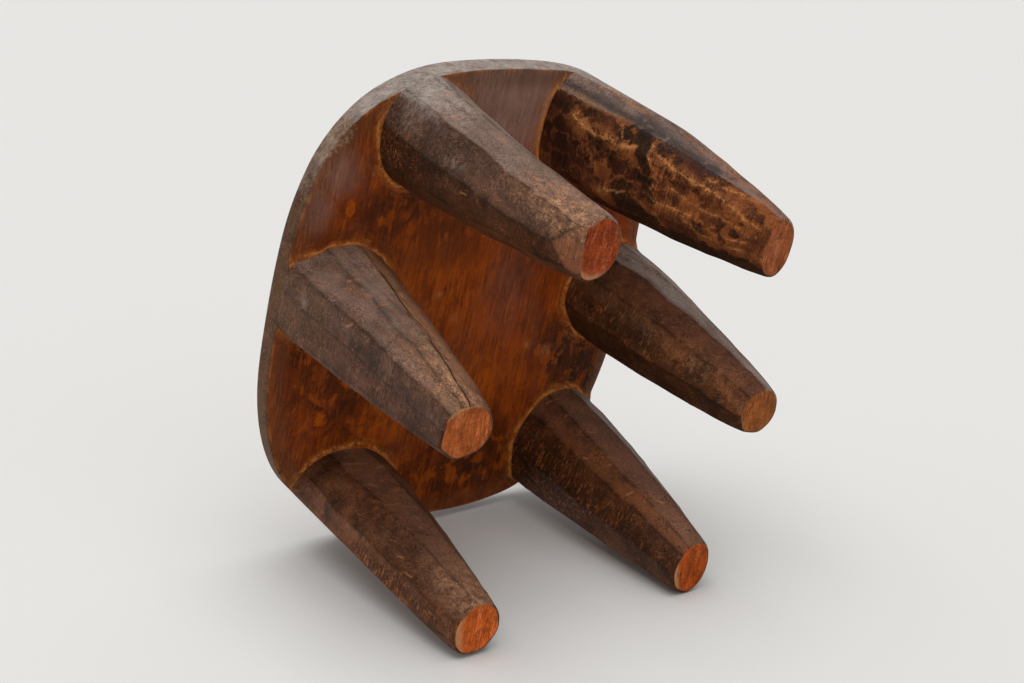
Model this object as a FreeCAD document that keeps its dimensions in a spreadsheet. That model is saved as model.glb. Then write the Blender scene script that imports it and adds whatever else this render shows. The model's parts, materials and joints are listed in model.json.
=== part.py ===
"""A carved stool: an oblong dished seat slab on six tapered, faceted legs.

Millimetres, +Z up. The feet stand on Z = 0 and the origin lies under the middle of the seat.
The long side of the seat runs along Y. The rear is +Y, and right is +X seen from the front.
"""
import FreeCAD, Part
import math
import os

import Sketcher

doc = FreeCAD.newDocument("carved_stool")
sheet = doc.addObject("Spreadsheet::Sheet", "Sizes")

# Sizes of the whole stool, in millimetres unless the name says otherwise
STOOL_SIZES = {
    "stool_height": 253,
    "seat_length": 416,
    "seat_width": 360,
    "rim_height": 22,
    "end_bow_radius": 590,
    "side_bow_radius": 630,
    "corner_radius": 130,
    "rim_rounding": 3,
    "dish_margin": 26,
    "dish_depth": 6,
    "leg_facets": 9,
    "leg_belly": 3.5,
}

# Each leg: where its middle stands at the seat, in from the seat's side and end (or along from the
# seat's middle), how far its foot splays from there, its two radii and the turn of its facets
LEG_SIZES = {
    "leg_rear_right": {"side_inset": 103, "end_inset": 54, "splay_x": 0, "splay_y": 1,
                       "top_radius": 46, "foot_radius": 22, "turn_deg": 8},
    "leg_middle_right": {"side_inset": 44, "along": 15, "splay_x": 23, "splay_y": 2,
                         "top_radius": 48, "foot_radius": 21, "turn_deg": 21},
    "leg_front_right": {"side_inset": 88, "end_inset": 40, "splay_x": 14, "splay_y": 7,
                        "top_radius": 46, "foot_radius": 20.5, "turn_deg": 33},
    "leg_rear_left": {"side_inset": 97, "end_inset": 54, "splay_x": -21, "splay_y": -9,
                      "top_radius": 49, "foot_radius": 21, "turn_deg": 14},
    "leg_middle_left": {"side_inset": 27, "along": 1, "splay_x": 19, "splay_y": -1,
                        "top_radius": 46, "foot_radius": 20, "turn_deg": 27},
    "leg_front_left": {"side_inset": 49, "end_inset": 65, "splay_x": 24, "splay_y": 1,
                       "top_radius": 47, "foot_radius": 21, "turn_deg": 2},
}
LEG_SECTIONS = 4


def fill_sheet():
    """Write every driving size into the sheet, one aliased cell each."""
    cells = dict(STOOL_SIZES)
    for leg, sizes in LEG_SIZES.items():
        cells.update({f"{leg}_{name}": value for name, value in sizes.items()})
    for row, (alias, value) in enumerate(cells.items(), start=1):
        sheet.set(f"A{row}", alias)
        sheet.set(f"B{row}", str(value))
        sheet.setAlias(f"B{row}", alias)
    doc.recompute()


def size(alias):
    """The number in the sheet's cell of that name."""
    return float(sheet.get(alias))


def origin_plane(body, role):
    """The origin plane of a body, found by its role."""
    return next(plane for plane in body.Origin.OriginFeatures if plane.Role == role)


def corner_centre():
    """Middle of the corner arc that runs smoothly from the side bow into the end bow."""
    side_middle = size("seat_width") / 2 - size("side_bow_radius")
    end_middle = size("seat_length") / 2 - size("end_bow_radius")
    side_reach = size("side_bow_radius") - size("corner_radius")
    end_reach = size("end_bow_radius") - size("corner_radius")
    apart = math.hypot(side_middle, end_middle)
    along = (side_reach ** 2 - end_reach ** 2 + apart ** 2) / (2 * apart)
    off = math.sqrt(side_reach ** 2 - along ** 2)
    unit_x, unit_y = -side_middle / apart, end_middle / apart
    return (side_middle + unit_x * along - unit_y * off,
            unit_y * along + unit_x * off)


def outline_arcs():
    """Eight arcs of the seat's outline, counter-clockwise from the right side."""
    side_x = size("seat_width") / 2 - size("side_bow_radius")
    end_y = size("seat_length") / 2 - size("end_bow_radius")
    corner_x, corner_y = corner_centre()
    side_turn = math.atan2(corner_y, corner_x - side_x)
    end_turn = math.atan2(corner_y - end_y, corner_x)
    half = math.pi
    return [
        (side_x, 0, "side_bow_radius", -side_turn, side_turn),
        (corner_x, corner_y, "corner_radius", side_turn, end_turn),
        (0, end_y, "end_bow_radius", end_turn, half - end_turn),
        (-corner_x, corner_y, "corner_radius", half - end_turn, half - side_turn),
        (-side_x, 0, "side_bow_radius", half - side_turn, half + side_turn),
        (-corner_x, -corner_y, "corner_radius", half + side_turn, half + end_turn),
        (0, -end_y, "end_bow_radius", half + end_turn, 2 * half - end_turn),
        (corner_x, -corner_y, "corner_radius", 2 * half - end_turn, 2 * half - side_turn),
    ]


def bind(sketch, expression, *rule):
    """Add a constraint whose value follows an expression on the sheet."""
    number = sketch.addConstraint(Sketcher.Constraint(*rule))
    sketch.setExpression(f"Constraints[{number}]", expression)


def outline_sketch(body, name):
    """The seat's outline as a fully constrained sketch on the body's XY plane."""
    sketch = body.newObject("Sketcher::SketchObject", name)
    sketch.AttachmentSupport = (origin_plane(body, "XY_Plane"), [""])
    sketch.MapMode = "FlatFace"
    arcs = outline_arcs()
    for x, y, radius, start, end in arcs:
        circle = Part.Circle(FreeCAD.Vector(x, y, 0), FreeCAD.Vector(0, 0, 1), size(radius))
        sketch.addGeometry(Part.ArcOfCircle(circle, start, end), False)
    start_point, end_point, middle_point = 1, 2, 3
    origin, x_axis, y_axis = (-1, 1), -1, -2
    right, rear, left, front = 0, 2, 4, 6
    for arc, (x, y, radius, start, end) in enumerate(arcs):
        following = (arc + 1) % len(arcs)
        sketch.addConstraint(Sketcher.Constraint("Tangent", arc, end_point, following, start_point))
        bind(sketch, f"Sizes.{radius}", "Radius", arc, size(radius))
    for arc, axis in ((right, x_axis), (left, x_axis), (rear, y_axis), (front, y_axis)):
        sketch.addConstraint(Sketcher.Constraint("PointOnObject", arc, middle_point, axis))
    for low, high, direction, radius, span in (
            ((right, middle_point), origin, "DistanceX", "side_bow_radius", "seat_width"),
            (origin, (left, middle_point), "DistanceX", "side_bow_radius", "seat_width"),
            ((rear, middle_point), origin, "DistanceY", "end_bow_radius", "seat_length"),
            (origin, (front, middle_point), "DistanceY", "end_bow_radius", "seat_length")):
        shift = size(radius) - size(span) / 2
        bind(sketch, f"Sizes.{radius} - Sizes.{span} / 2", direction, *low, *high, shift)
    return sketch


def make_seat():
    """The seat slab: outline, shallow oblong dish in its top and a worn upper edge."""
    body = doc.addObject("PartDesign::Body", "seat")
    body.Label = "seat"
    body.setExpression("Placement.Base.z", "Sizes.stool_height - Sizes.rim_height")
    slab = body.newObject("PartDesign::Pad", "seat_slab")
    slab.Profile = outline_sketch(body, "seat_outline")
    slab.setExpression("Length", "Sizes.rim_height")
    doc.recompute()
    edge = body.newObject("PartDesign::Fillet", "worn_edge")
    top_edges = [f"Edge{number}" for number, candidate in enumerate(slab.Shape.Edges, start=1)
                 if candidate.BoundBox.ZMin > size("rim_height") / 2]
    edge.Base = (slab, top_edges)
    edge.setExpression("Radius", "Sizes.rim_rounding")
    doc.recompute()
    before = edge.Shape.Volume
    dish = body.newObject("PartDesign::SubtractiveEllipsoid", "dish")
    dish.AttachmentSupport = (origin_plane(body, "XY_Plane"), [""])
    dish.MapMode = "FlatFace"
    half_width = "(Sizes.seat_width / 2 - Sizes.dish_margin)"
    half_length = "(Sizes.seat_length / 2 - Sizes.dish_margin)"
    bowl_radius = f"(({half_width} ^ 2 + Sizes.dish_depth ^ 2) / (2 * Sizes.dish_depth))"
    dish.setExpression("Radius1", bowl_radius)
    dish.setExpression("Radius2", bowl_radius)
    dish.setExpression("Radius3", f"{bowl_radius} * {half_length} / {half_width}")
    dish.setExpression("AttachmentOffset.Base.z", f"Sizes.rim_height + {bowl_radius} - Sizes.dish_depth")
    doc.recompute()
    if not dish.Shape.Volume < before:
        raise RuntimeError("the dish cuts nothing from the seat")
    return body


def make_outer_face():
    """The log's outer face under the rim, which the legs' outer faces keep to."""
    body = doc.addObject("PartDesign::Body", "outer_face")
    body.Label = "outer_face"
    body.setExpression("Placement.Base.z", "Sizes.stool_height - Sizes.rim_height")
    drop = body.newObject("PartDesign::Pad", "outer_face_drop")
    drop.Profile = outline_sketch(body, "outer_face_outline")
    drop.Reversed = True
    drop.setExpression("Length", "Sizes.stool_height - Sizes.rim_height")
    return body


def leg_place(leg):
    """Expressions for the middle of a leg at the seat."""
    side = "" if leg.endswith("right") else "-"
    place_x = f"{side}(Sizes.seat_width / 2 - Sizes.{leg}_side_inset)"
    if "middle" in leg:
        return place_x, f"Sizes.{leg}_along"
    end = "" if "rear" in leg else "-"
    return place_x, f"{end}(Sizes.seat_length / 2 - Sizes.{leg}_end_inset)"


def make_leg(leg, outer_face):
    """One leg: faceted sections from foot to seat, joined and cut back to the log's outer face."""
    place_x, place_y = leg_place(leg)
    sections = []
    for number in range(LEG_SECTIONS):
        rise = number / (LEG_SECTIONS - 1)
        drop = 1 - rise
        section = doc.addObject("Part::RegularPolygon", f"{leg}_section_{number}")
        section.setExpression("Polygon", "Sizes.leg_facets")
        taper = f"Sizes.{leg}_foot_radius * {drop} + Sizes.{leg}_top_radius * {rise}"
        section.setExpression("Circumradius", f"{taper} + Sizes.leg_belly * {4 * rise * drop}")
        section.setExpression("Placement.Base.x", f"{place_x} + Sizes.{leg}_splay_x * {drop}")
        section.setExpression("Placement.Base.y", f"{place_y} + Sizes.{leg}_splay_y * {drop}")
        section.setExpression("Placement.Base.z", f"(Sizes.stool_height - Sizes.rim_height) * {rise}")
        section.setExpression("Placement.Rotation.Angle", f"Sizes.{leg}_turn_deg")
        sections.append(section)
    blank = doc.addObject("Part::Loft", f"{leg}_blank")
    blank.Sections = sections
    blank.Solid = True
    blank.Ruled = True
    carved = doc.addObject("Part::Common", leg)
    carved.Base = blank
    carved.Tool = outer_face
    carved.Label = leg
    return carved


def check_and_write(pieces):
    """Stop on any failed object or bad solid, then write each piece to its own file."""
    for item in doc.Objects:
        if {"Invalid", "Error"} & set(item.State):
            raise RuntimeError(f"{item.Label} failed: {item.State}")
    for piece in pieces:
        if piece.Shape.isNull() or not piece.Shape.isValid() or len(piece.Shape.Solids) != 1:
            raise RuntimeError(f"{piece.Label} is not one valid solid")
    os.makedirs("parts", exist_ok=True)
    for piece in pieces:
        piece.Shape.exportStep(f"parts/{piece.Label}.step")
        print(piece.Label, round(piece.Shape.Volume), "cubic millimetres")


fill_sheet()
seat = make_seat()
outer_face = make_outer_face()
legs = [make_leg(leg, outer_face) for leg in LEG_SIZES]
doc.recompute()
check_and_write([seat] + legs)
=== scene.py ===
"""Looks of a carved stool: an adzed seat slab and six faceted legs, in stained and weathered wood.

Metres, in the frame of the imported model: +Z up, feet on Z = 0, long side of the seat along Y.
"""
import json
import math
from collections import defaultdict
from dataclasses import dataclass, field

import bmesh
import bpy
import numpy as np
from mathutils import Matrix, Vector


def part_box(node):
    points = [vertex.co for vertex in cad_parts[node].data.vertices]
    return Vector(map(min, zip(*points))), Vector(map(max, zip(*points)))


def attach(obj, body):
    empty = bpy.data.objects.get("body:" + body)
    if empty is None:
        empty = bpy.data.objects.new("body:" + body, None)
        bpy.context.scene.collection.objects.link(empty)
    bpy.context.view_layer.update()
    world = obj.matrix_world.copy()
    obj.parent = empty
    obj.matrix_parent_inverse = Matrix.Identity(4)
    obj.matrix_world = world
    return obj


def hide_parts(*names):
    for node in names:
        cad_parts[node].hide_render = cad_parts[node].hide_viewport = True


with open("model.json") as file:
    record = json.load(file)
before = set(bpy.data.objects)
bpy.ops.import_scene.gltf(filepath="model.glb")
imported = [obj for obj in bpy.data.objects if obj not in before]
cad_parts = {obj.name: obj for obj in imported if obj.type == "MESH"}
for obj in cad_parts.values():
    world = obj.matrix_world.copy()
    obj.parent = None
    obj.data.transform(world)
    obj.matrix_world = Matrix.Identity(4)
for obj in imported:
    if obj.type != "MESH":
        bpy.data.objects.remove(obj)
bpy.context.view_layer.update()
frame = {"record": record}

MM = 0.001
SEAT_LOW, SEAT_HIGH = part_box("seat")
HALF_WIDTH = (SEAT_HIGH.x - SEAT_LOW.x) / 2
HALF_LENGTH = (SEAT_HIGH.y - SEAT_LOW.y) / 2
UNDERSIDE = SEAT_LOW.z
SEAT_TOP = SEAT_HIGH.z
OUTLINE_POWER = 2.84
FEET = {mount["name"].replace("foot", "leg"): mount["pos_m"] for mount in frame["record"]["mounts"]}


@dataclass
class Patch:
    """A painted area: its middle, how far it reaches and how strong it is.

    On a leg the middle is a share of the height and an angle in degrees; on the seat it is in metres.
    """
    middle: tuple
    reach: tuple
    strength: float = 1.0


@dataclass
class Stroke:
    """A line on a leg: its width in metres and the points it runs through, each a share of the height
    and an angle in degrees."""
    width: float
    points: list


@dataclass
class Ridge:
    """A carved edge down a leg: its angle at the seat and at the foot in degrees, how far it stands out
    at the seat, the lightness and greyness of the facet that follows it, counter-clockwise, and how far
    the edge stands in half-way up. The lightness is partly painted shade, lower on facets that face
    away from the light; the greyness is partly weathering and partly painted sheen on facets facing it."""
    seat: float
    foot: float
    reach: float = 1.0
    tone: float = 0.45
    grey_and_sheen: float = 0.0
    waist: float = 0.0


@dataclass
class Leg:
    """How one leg is carved, in metres, and how its wood is marked: patches and strokes of each kind."""
    node: str
    top: tuple
    top_radius: float
    foot_radius: float
    seed: int
    ridges: list
    oval: tuple = (1.0, 1.0)
    foot_oval: tuple = (1.0, 1.0)
    chamfer: float = None
    foot_colour: tuple = (0.3, 0.075, 0.022)
    slot: str = "leg_wood"
    patches: dict = field(default_factory=dict)
    strokes: dict = field(default_factory=dict)


# Facet tones below are partly painted shade, and facet greys partly painted sheen.
# Red patches are partly painted warm bounce light, dirt patches partly painted shade, gold strokes on ridges
# painted highlights.
LEGS = [
    Leg("leg_rear_right", (0.077, 0.154), 0.0455, 0.0240, 11, [
        Ridge(-30, -42, tone=0.05), Ridge(12, -8, tone=0.24, grey_and_sheen=0.1), Ridge(52, 38, 1.05, 0.55, 0.5),
        Ridge(86, 98, 1.08, 0.6, 0.8, waist=0.10), Ridge(124, 132, grey_and_sheen=0.2, waist=0.16),
        Ridge(163, 170, waist=0.08), Ridge(205, 208, tone=0.35), Ridge(247, 240), Ridge(290, 280, tone=0.3),
    ], oval=(0.95, 1.02), foot_oval=(0.95, 1.13), chamfer=-5, foot_colour=(0.250, 0.044, 0.012), patches={
        "grey_and_sheen": [Patch((0.93, 74), (0.24, 32))],
        "pale": [Patch((0.88, 30), (0.06, 10), 0.5), Patch((0.60, 20), (0.05, 8), 0.5),
                 Patch((0.83, 68), (0.17, 26))],
        "tan": [Patch((0.05, 54), (0.26, 44), 0.8), Patch((0.05, -5), (0.06, 26), 0.8)],
        "dirt_and_shade": [Patch((0.56, 0), (0.20, 14), 1.3)],
        "fibre": [Patch((0.88, -8), (0.12, 26), 0.7)],
        "speckle": [Patch((0.08, 52), (0.22, 40))],
        "red": [Patch((0.40, -30), (0.50, 40), 0.9), Patch((0.04, -5), (0.08, 24))],
        "lip": [Patch((0.0, -88), (0.1, 40), 0.75), Patch((0.0, 64), (0.1, 14), 0.5)],
    }, strokes={
        "nick": [Stroke(0.0014, [(0.54, -10), (0.51, -9)]), Stroke(0.0017, [(0.87, 79), (0.86, 82)]),
                 Stroke(0.0019, [(0.55, 76), (0.54, 82)]), Stroke(0.0016, [(0.73, 60), (0.74, 66)])],
    }),
    Leg("leg_middle_right", (0.137, 0.015), 0.0475, 0.0230, 12, [
        Ridge(-34, -30, tone=0.35), Ridge(10, 4, tone=0.3, grey_and_sheen=0.06), Ridge(41, 45, tone=0.55, grey_and_sheen=0.3),
        Ridge(76, 70, tone=0.42, grey_and_sheen=0.42), Ridge(107, 90, 1.09, 0.7), Ridge(146, 140, 1.10),
        Ridge(186, 186, tone=0.4), Ridge(228, 226), Ridge(276, 280, tone=0.3),
    ], oval=(1.10, 0.92), foot_oval=(1.13, 1.04), foot_colour=(0.335, 0.082, 0.020), patches={
        "fibre": [Patch((0.80, -8), (0.14, 16), 0.8)],
        "pale": [Patch((0.88, 16), (0.05, 7), 0.4)],
        "tan": [Patch((0.50, 118), (0.60, 20)), Patch((0.10, 84), (0.26, 40))],
        "dirt_and_shade": [Patch((0.50, 14), (0.22, 14))],
        "scrape": [Patch((0.72, 75), (0.20, 24), 0.5)],
        "speckle": [Patch((0.08, 86), (0.28, 36), 0.9), Patch((0.50, 116), (0.40, 12), 0.6)],
        "lip": [Patch((0.0, 62), (0.1, 44), 0.7), Patch((0.0, -50), (0.1, 40), 0.3)],
    }, strokes={
        "crack": [Stroke(0.0009, [(0.78, 107), (0.68, 105), (0.59, 101), (0.52, 102), (0.48, 106),
                                  (0.43, 111), (0.32, 99), (0.20, 95), (0.12, 90), (0.0, 86)])],
        "nick": [Stroke(0.0018, [(0.77, 66), (0.76, 76)]), Stroke(0.0014, [(0.58, 70), (0.58, 84)]),
                 Stroke(0.0014, [(0.61, 29), (0.58, 36)])],
    }),
    Leg("leg_front_right", (0.089, -0.171), 0.0460, 0.0222, 13, [
        Ridge(-12, -22, tone=0.5), Ridge(35, 18, tone=0.4), Ridge(67, 74, tone=0.85, grey_and_sheen=0.1),
        Ridge(108, 118), Ridge(146, 160), Ridge(190, 200, tone=0.35), Ridge(232, 238),
        Ridge(280, 286, tone=0.3), Ridge(316, 318, tone=0.35),
    ], oval=(1.12, 0.92), foot_oval=(1.02, 1.12), foot_colour=(0.500, 0.101, 0.018), patches={
        "red": [Patch((0.30, 0), (0.60, 34)), Patch((0.85, 60), (0.40, 70), 0.6)],
        "fibre": [Patch((0.28, 4), (0.34, 20), 0.9)],
        "scrape": [Patch((0.66, 88), (0.30, 34))],
        "speckle": [Patch((0.05, 92), (0.18, 50), 0.8)],
        "tan": [Patch((0.10, 84), (0.22, 50), 0.8)],
        "lip": [Patch((0.0, -16), (0.1, 60))],
    }, strokes={
        "nick": [Stroke(0.0015, [(0.90, 64), (0.88, 93)]), Stroke(0.0015, [(0.84, 100), (0.87, 128)]),
                 Stroke(0.0018, [(0.69, 96), (0.68, 112)]), Stroke(0.0014, [(0.60, 69), (0.60, 90)]),
                 Stroke(0.0014, [(0.58, 91), (0.57, 109)]), Stroke(0.0028, [(0.75, 74), (0.73, 79)]),
                 Stroke(0.0012, [(0.38, 36), (0.36, 40)]), Stroke(0.0012, [(0.31, 27), (0.27, 29)])],
        "scuff": [Stroke(0.0022, [(0.52, 96), (0.50, 98)]), Stroke(0.0020, [(0.46, 89), (0.44, 91)]),
                  Stroke(0.0017, [(0.41, 95), (0.40, 96)])],
    }),
    Leg("leg_rear_left", (-0.084, 0.155), 0.0490, 0.0218, 14, [
        Ridge(-32, -18), Ridge(22, 40), Ridge(42, 74, 1.10, grey_and_sheen=0.5), Ridge(84, 104, 1.16, grey_and_sheen=0.95),
        Ridge(128, 140, tone=0.1, grey_and_sheen=0.2), Ridge(170, 176, tone=0.1), Ridge(214, 216, tone=0.15),
        Ridge(256, 252, tone=0.1), Ridge(296, 300),
    ], foot_oval=(0.76, 1.21), foot_colour=(0.285, 0.080, 0.029), slot="charred_leg_wood", patches={
        "char": [Patch((0.65, 44), (0.040, 8)), Patch((0.80, 40), (0.070, 8), 0.55),
                 Patch((0.74, 19), (0.040, 8), 0.8), Patch((0.66, 15), (0.026, 9), 0.8),
                 Patch((0.92, 34), (0.050, 9), 0.6), Patch((0.85, 4), (0.050, 12), 0.5),
                 Patch((0.47, 52), (0.070, 7), 0.7), Patch((0.57, -33), (0.075, 14)),
                 Patch((0.60, -14), (0.055, 10), 0.8), Patch((0.48, -39), (0.060, 12)),
                 Patch((0.30, -62), (0.400, 18)), Patch((0.11, -2), (0.035, 11), 0.6),
                 Patch((0.25, -20), (0.045, 10), 0.7), Patch((0.13, 30), (0.050, 9), 0.5),
                 Patch((0.33, 30), (0.040, 8), 0.45)],
        "vein": [Patch((0.42, 16), (0.60, 48))],
        "lip": [Patch((0.0, -30), (0.1, 50), 0.4)],
    }, strokes={
        "char": [Stroke(0.0070, [(0.59, 52), (0.54, 29), (0.50, 11), (0.48, -8)])],
        "soot": [Stroke(0.0042, [(0.97, 53), (0.86, 55), (0.74, 58), (0.64, 62)]),
                 Stroke(0.0064, [(0.66, 66), (0.58, 66), (0.50, 67), (0.42, 69), (0.30, 73)])],
        "gold_and_highlight": [Stroke(0.0026, [(0.86, 31), (0.84, 29), (0.79, 26), (0.75, 27), (0.69, 29), (0.65, 28),
                                 (0.61, 32), (0.59, 39)]),
                 Stroke(0.0020, [(0.54, 48), (0.50, 45), (0.44, 43), (0.40, 41), (0.31, 42), (0.28, 46),
                                 (0.19, 44), (0.11, 41), (0.04, 40)]),
                 Stroke(0.0011, [(1.0, 42), (0.95, 47), (0.88, 48), (0.83, 51), (0.77, 52), (0.70, 54)]),
                 Stroke(0.0011, [(0.98, 73), (0.91, 75), (0.83, 76), (0.77, 76), (0.71, 77), (0.67, 78)]),
                 Stroke(0.0014, [(0.48, -9), (0.44, -12), (0.39, -11), (0.35, -10), (0.29, -6)]),
                 Stroke(0.0013, [(0.41, 18), (0.34, 14), (0.29, 12), (0.21, 15), (0.18, 18), (0.10, 15),
                                 (0.07, 13)]),
                 Stroke(0.0010, [(0.35, -13), (0.28, -22), (0.24, -29), (0.18, -28)]),
                 Stroke(0.0010, [(0.14, -17), (0.10, -12), (0.07, -6)]),
                 Stroke(0.0010, [(0.14, -30), (0.09, -28)]),
                 Stroke(0.0010, [(0.29, 57), (0.24, 60), (0.20, 65), (0.15, 71), (0.10, 76)]),
                 Stroke(0.0015, [(0.71, -34), (0.65, -25), (0.58, -20)]),
                 Stroke(0.0013, [(0.65, 38), (0.68, 50)]),
                 Stroke(0.0012, [(0.54, 47), (0.49, 27), (0.46, 4)])],
    }),
    Leg("leg_middle_left", (-0.153, 0.001), 0.0460, 0.0215, 15, [
        Ridge(-11, -5, tone=0.50), Ridge(31, 45, tone=0.55), Ridge(63, 90, tone=0.6, grey_and_sheen=0.85),
        Ridge(92, 122, tone=0.6, grey_and_sheen=0.7), Ridge(134, 150, grey_and_sheen=0.2), Ridge(176, 180, tone=0.4),
        Ridge(216, 214), Ridge(256, 250, tone=0.3), Ridge(300, 310, tone=0.02),
    ], foot_oval=(0.98, 1.03), foot_colour=(0.260, 0.080, 0.021), patches={
        "tan": [Patch((0.58, 24), (0.40, 13), 0.8)],
        "fibre": [Patch((0.74, 10), (0.34, 26), 0.8)],
        "speckle": [Patch((0.25, 24), (0.40, 24), 0.3)],
        "dirt_and_shade": [Patch((0.42, 2), (0.60, 14), 1.5)],
        "red": [Patch((0.45, 6), (0.80, 64))],
        "lip": [Patch((0.0, -20), (0.1, 40), 0.4)],
    }),
    Leg("leg_front_left", (-0.132, -0.143), 0.0470, 0.0225, 16, [
        Ridge(-50, -46, 1.15, 0.25), Ridge(-4, -6, 0.95, 0.3), Ridge(40, 36, 0.93, 0.75),
        Ridge(68, 60, tone=0.85, grey_and_sheen=0.1), Ridge(98, 108, tone=0.7, grey_and_sheen=0.5), Ridge(140, 146, grey_and_sheen=0.1),
        Ridge(184, 186, tone=0.4), Ridge(224, 220), Ridge(262, 260, tone=0.2),
    ], foot_oval=(0.87, 1.17), foot_colour=(0.350, 0.066, 0.010), patches={
        "fibre": [Patch((0.72, -10), (0.40, 44)), Patch((0.25, 6), (0.26, 28), 0.8)],
        "scrape": [Patch((0.66, 70), (0.34, 22), 0.8)],
        "red": [Patch((0.45, 10), (0.80, 70))],
        "tan": [Patch((0.12, 60), (0.20, 40), 0.5)],
        "lip": [Patch((0.0, -24), (0.1, 56), 0.9)],
    }, strokes={
        "nick": [Stroke(0.0016, [(0.96, 59), (0.94, 72)]), Stroke(0.0015, [(0.71, 69), (0.69, 79)]),
                 Stroke(0.0015, [(0.51, 59), (0.50, 66)]), Stroke(0.0015, [(0.62, 44), (0.60, 46)]),
                 Stroke(0.0020, [(0.25, 76), (0.23, 86)]), Stroke(0.0018, [(0.35, 50), (0.34, 58)]),
                 Stroke(0.0017, [(0.84, 64), (0.83, 69)])],
    }),
]

SEAT_PATCHES = {
    "orange": [Patch((0.030, 0.020), (0.060, 0.080), 0.6), Patch((-0.020, -0.080), (0.060, 0.040), 0.8),
               Patch((0.060, -0.112), (0.040, 0.022)), Patch((-0.080, -0.078), (0.022, 0.022), 0.5)],
    "ember": [Patch((0.133, 0.091), (0.005, 0.010)), Patch((0.124, -0.099), (0.007, 0.008), 0.9)],
    # Dark stain patches; those beside the legs are partly painted shadows of the legs.
    "stain_and_shadow": [Patch((0.100, 0.086), (0.030, 0.020), 0.9), Patch((0.070, 0.092), (0.028, 0.018)),
              Patch((0.034, 0.074), (0.026, 0.014), 0.9), Patch((0.020, 0.058), (0.045, 0.024), 0.65),
              Patch((0.150, 0.095), (0.030, 0.050), 0.4), Patch((-0.126, -0.056), (0.036, 0.032), 1.3),
              Patch((0.115, -0.055), (0.055, 0.040), 0.9), Patch((0.152, -0.030), (0.022, 0.030)),
              Patch((0.038, 0.063), (0.003, 0.005)), Patch((-0.045, -0.165), (0.060, 0.028)),
              Patch((-0.150, -0.080), (0.034, 0.045), 1.3), Patch((-0.110, 0.060), (0.040, 0.045), 0.8)],
    "mahogany": [Patch((0.000, 0.190), (0.075, 0.070)), Patch((-0.045, 0.015), (0.026, 0.050), 0.15),
                 Patch((0.148, 0.121), (0.018, 0.020), 0.6), Patch((0.165, 0.093), (0.016, 0.022), 0.5)],
    "blots": [Patch((-0.030, -0.160), (0.090, 0.050)), Patch((0.110, -0.090), (0.060, 0.045), 0.9),
              Patch((-0.120, -0.060), (0.050, 0.060), 0.7), Patch((0.100, 0.085), (0.060, 0.035), 0.6)],
    "spot": [Patch((0.028, 0.008), (0.004, 0.003)), Patch((0.007, -0.017), (0.003, 0.005), 0.9),
             Patch((-0.078, -0.048), (0.004, 0.004)), Patch((-0.100, -0.055), (0.007, 0.006), 0.9)],
    "flaked": [Patch((0.153, 0.157), (0.013, 0.013)), Patch((0.164, 0.142), (0.011, 0.013), 0.8)],
}

# Kinds of marks on the legs, and how uneven their edges are. Red marks are partly painted warm
# bounce light, and dirt marks partly painted shade.
LEG_MARKS = ("pale", "tan", "dirt_and_shade", "fibre", "speckle", "red", "scrape", "vein", "lip")
LEG_LINES = ("scuff", "nick", "crack", "soot")
GLOW_SPREAD = 2.8
PATCH_EDGE = 1.5
FRAY = 0.8 * MM
CHAR_FRAY = 1.9 * MM

# Shape of the legs
LEG_TAPER_POWER = 1.43
LEG_SIDES = 270
LEG_RINGS = 215
RING_CROWDING = 0.38
FOOT_RING_WIDTHS = (0.03, 0.04, 0.06, 0.09, 0.12, 0.16, 0.18, 0.16)
LEG_SUNK = 8 * MM
SUNK_RECESS = 0.35 * MM
RIDGE_SHARPNESS = 90
END_SHARPNESS = 11
SOFT_AT_FOOT = 45 * MM
SOFT_AT_SEAT = 30 * MM
RIDGE_SWAY = 1.0
RIDGE_REACH = 1.022
STROKE_LENGTH = 42 * MM
STROKE_DEPTH = 0.4 * MM
FACET_WAVER = 0.22 * MM
FLARE_HEIGHT = 10 * MM
FLARE_WIDTH = 2.4 * MM
FOOT_ROUNDING = 2.2 * MM
SAW_DEPTH = 0.18 * MM
CHAMFER_HEIGHT = 29 * MM
CHAMFER_DEPTH = 0.58
CHAMFER_SLOPE = 0.66
CHAMFER_TONE = 0.95
RIDGE_LINE = 1.0 * MM
GIRTH = 36 * MM

# Shape of the seat
SEAT_GRID = (190, 220)
RIM_RINGS = 10
RIM_WAVER = 0.5 * MM
REAR_RIM_DROP = 2.5 * MM
DROP_ALONG = (0.14, 0.20)
DROP_ACROSS = (-0.12, 0.02)
SIDE_LIFT = 4.5 * MM
SIDE_MARGIN = 0.085
SIDE_START = (0.09, 0.16)
DISH_DEPTH = 6 * MM
DISH_SHARE = 0.88
FILLET_HEIGHT = 3.0 * MM
FILLET_WIDTH = 8 * MM
UNDER_EDGE = 0.7 * MM
TOP_EDGE = 1.8 * MM
UNDERSIDE_ROLL = 0.8 * MM
ADZE_DEPTH = 0.3 * MM
EDGE_TURN = (0.0, 0.29, 1.0)
TOP_EDGE_RINGS = 3
OUTERMOST = 0.9999

# Colours of the wood, some of them partly painted sheen and highlights
DARK_STAIN = (0.038, 0.013, 0.005)
BROWN_STAIN = (0.180, 0.074, 0.042)
WEATHERED_GREY_AND_SHEEN = (0.262, 0.200, 0.166)
WEATHERED_BROWN = (0.098, 0.045, 0.021)
RIM_GREY_AND_SHEEN = (0.330, 0.270, 0.232)
FLAKED = (0.330, 0.225, 0.150)
TAN = (0.440, 0.250, 0.150)
WORN_TAN = (0.280, 0.134, 0.073)
RED_BROWN = (0.185, 0.058, 0.018)
RAW_ORANGE = (0.420, 0.130, 0.025)
NICK = (0.430, 0.170, 0.060)
WARM_TAN = (0.520, 0.245, 0.118)
HIGHLIGHT_ORANGE = (0.620, 0.220, 0.050)
PALE_SCUFF = (0.400, 0.315, 0.265)
RUST = (0.245, 0.043, 0.006)
RUST_DARK = (0.105, 0.021, 0.0035)
RUST_ORANGE = (0.390, 0.077, 0.004)
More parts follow.
